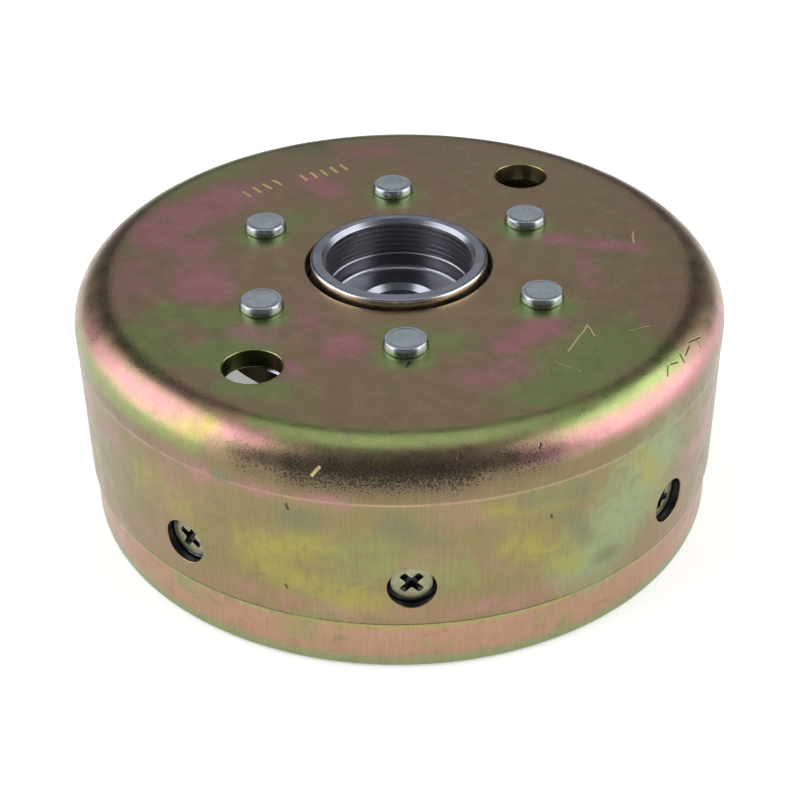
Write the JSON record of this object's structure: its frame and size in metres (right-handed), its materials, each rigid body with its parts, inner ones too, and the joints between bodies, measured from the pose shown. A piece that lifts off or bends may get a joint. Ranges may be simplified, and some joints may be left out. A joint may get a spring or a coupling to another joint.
{
  "type": "magneto flywheel",
  "caption": "Outer-rotor magneto flywheel: drawn steel cup with a riveted hub, an internal puller thread, and magnets held inside by screws through the wall.",
  "frame": {"origin": "middle of the plane of the cup's open rim, on the spin axis", "axes": "+Z along the spin axis from the open rim towards the riveted top; -Y towards the side with the middle one of three neighbouring magnet screws"},
  "size_m": [0.116, 0.116, 0.0455],
  "materials": {
    "chromated_steel": "yellow chromated zinc plate with pink and green patches, satin, lightly scuffed",
    "turned_steel": "bare steel as turned, lightly oiled",
    "rivet_zinc": "clear zinc plate with a bluish tint",
    "ferrite": "unglazed sintered ferrite, dull dark grey",
    "shoe_steel": "ground mild steel, satin",
    "screw_zinc": "pale yellow zinc plate, dull"
  },
  "bodies": {
    "root": {"rotor_cup": "chromated_steel", "hub": "turned_steel", "rivet_1": "rivet_zinc", "rivet_2": "rivet_zinc", "rivet_3": "rivet_zinc", "rivet_4": "rivet_zinc", "rivet_5": "rivet_zinc", "rivet_6": "rivet_zinc", "magnet_1": "ferrite", "magnet_2": "ferrite", "magnet_3": "ferrite", "magnet_4": "ferrite", "pole_shoe_1": "shoe_steel", "pole_shoe_2": "shoe_steel", "pole_shoe_3": "shoe_steel", "pole_shoe_4": "shoe_steel", "magnet_screw_1": "screw_zinc", "magnet_screw_2": "screw_zinc", "magnet_screw_3": "screw_zinc", "magnet_screw_4": "screw_zinc", "magnet_screw_5": "screw_zinc", "magnet_screw_6": "screw_zinc", "magnet_screw_7": "screw_zinc", "magnet_screw_8": "screw_zinc"}
  },
  "joints": []
}
